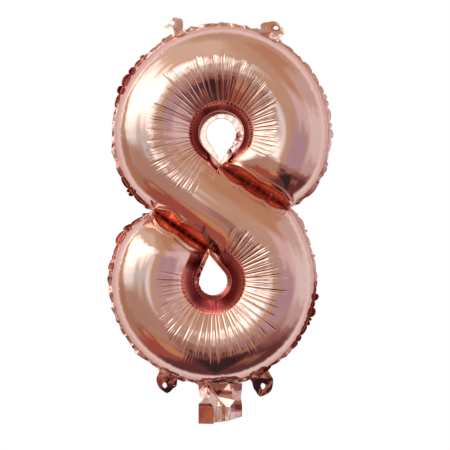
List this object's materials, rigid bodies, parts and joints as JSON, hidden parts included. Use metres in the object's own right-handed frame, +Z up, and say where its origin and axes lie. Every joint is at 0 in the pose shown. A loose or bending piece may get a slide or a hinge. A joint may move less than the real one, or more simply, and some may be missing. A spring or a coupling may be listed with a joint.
{
  "type": "foil number balloon",
  "caption": "Inflated rose-gold foil balloon in the shape of the figure 8, with hanging tabs and a self-sealing filling neck.",
  "frame": {"origin": "midway between the punched holes of the two top tabs, in the plane where the two films meet", "axes": "+X to the right of the figure as read, +Z up, -Y towards the viewer"},
  "size_m": [0.2132, 0.068, 0.3836],
  "materials": {
    "foil": "mirror-bright metallised film, rose gold",
    "seal": "heat-sealed metallised film, rose gold, finely puckered",
    "valve_film": "clear polyethylene film"
  },
  "bodies": {
    "envelope": {"front_film": "foil", "back_film": "foil", "outer_seal": "seal", "upper_waist_weld": "seal", "lower_waist_weld": "seal", "upper_hole_seal": "seal", "lower_hole_seal": "seal", "valve_front_ply": "valve_film", "valve_back_ply": "valve_film"},
    "neck": {"neck_front_ply": "foil", "neck_back_ply": "foil"},
    "top_left_tab": {"top_left_tab": "seal"},
    "top_right_tab": {"top_right_tab": "seal"},
    "bottom_left_tab": {"bottom_left_tab": "seal"},
    "bottom_right_tab": {"bottom_right_tab": "seal"}
  },
  "joints": [
    {"name": "top_left_tab_flex", "type": "hinge", "parent": "envelope", "child": "top_left_tab", "pos_m": [-0.04555, 0, -0.00901], "axis": [0.9026, 0, 0.4305], "range_deg": [-90, 90], "stiffness_Nm_per_rad": 0.0002},
    {"name": "top_right_tab_flex", "type": "hinge", "parent": "envelope", "child": "top_right_tab", "pos_m": [0.04555, 0, -0.00901], "axis": [0.9026, 0, -0.4305], "range_deg": [-90, 90], "stiffness_Nm_per_rad": 0.0002},
    {"name": "bottom_left_tab_flex", "type": "hinge", "parent": "envelope", "child": "bottom_left_tab", "pos_m": [-0.05088, 0, -0.33353], "axis": [-0.9026, 0, 0.4305], "range_deg": [-90, 90], "stiffness_Nm_per_rad": 0.0002},
    {"name": "bottom_right_tab_flex", "type": "hinge", "parent": "envelope", "child": "bottom_right_tab", "pos_m": [0.03548, 0, -0.33353], "axis": [-0.9026, 0, -0.4305], "range_deg": [-90, 90], "stiffness_Nm_per_rad": 0.0002},
    {"name": "neck_flex", "type": "hinge", "parent": "envelope", "child": "neck", "pos_m": [-0.0009, 0, -0.3433], "axis": [1, 0, 0], "range_deg": [-90, 90], "stiffness_Nm_per_rad": 0.0005}
  ]
}
